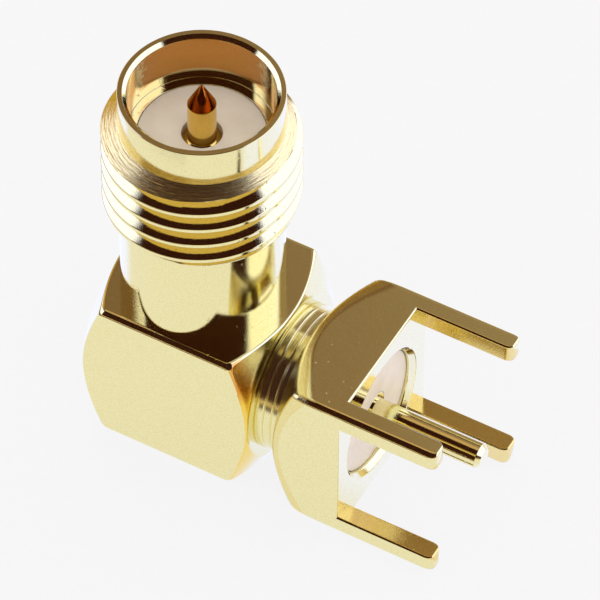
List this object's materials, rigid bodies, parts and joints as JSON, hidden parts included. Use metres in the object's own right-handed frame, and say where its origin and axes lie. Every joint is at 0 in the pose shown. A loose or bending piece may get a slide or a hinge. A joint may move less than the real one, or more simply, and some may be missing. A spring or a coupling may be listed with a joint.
{
  "type": "right-angle sma board connector",
  "caption": "Right-angle coaxial board jack: a threaded barrel with a centre pin on a square elbow, and legs and a contact pin at a right angle for a circuit board.",
  "frame": {"origin": "where the jack's axis meets the flat underside that the part lies on", "axes": "+Z along the jack's axis, out of its mouth; +X along the board legs, away from the elbow; +Y across the part"},
  "size_m": [0.0135, 0.0064, 0.0148],
  "materials": {
    "gold_plate": "bright gold plating over machined brass, with fine turning and tumbling marks",
    "gold_contact": "bright gold plating over turned beryllium copper",
    "ptfe": "waxy white machined fluoropolymer",
    "solder": "dull bright tin solder"
  },
  "bodies": {
    "root": {"elbow_body": "gold_plate", "jack_barrel": "gold_plate", "jack_insulator": "ptfe", "jack_contact": "gold_contact", "board_contact": "gold_contact", "board_insulator": "ptfe", "solder_joint": "solder", "end_cap": "gold_plate"}
  },
  "joints": []
}
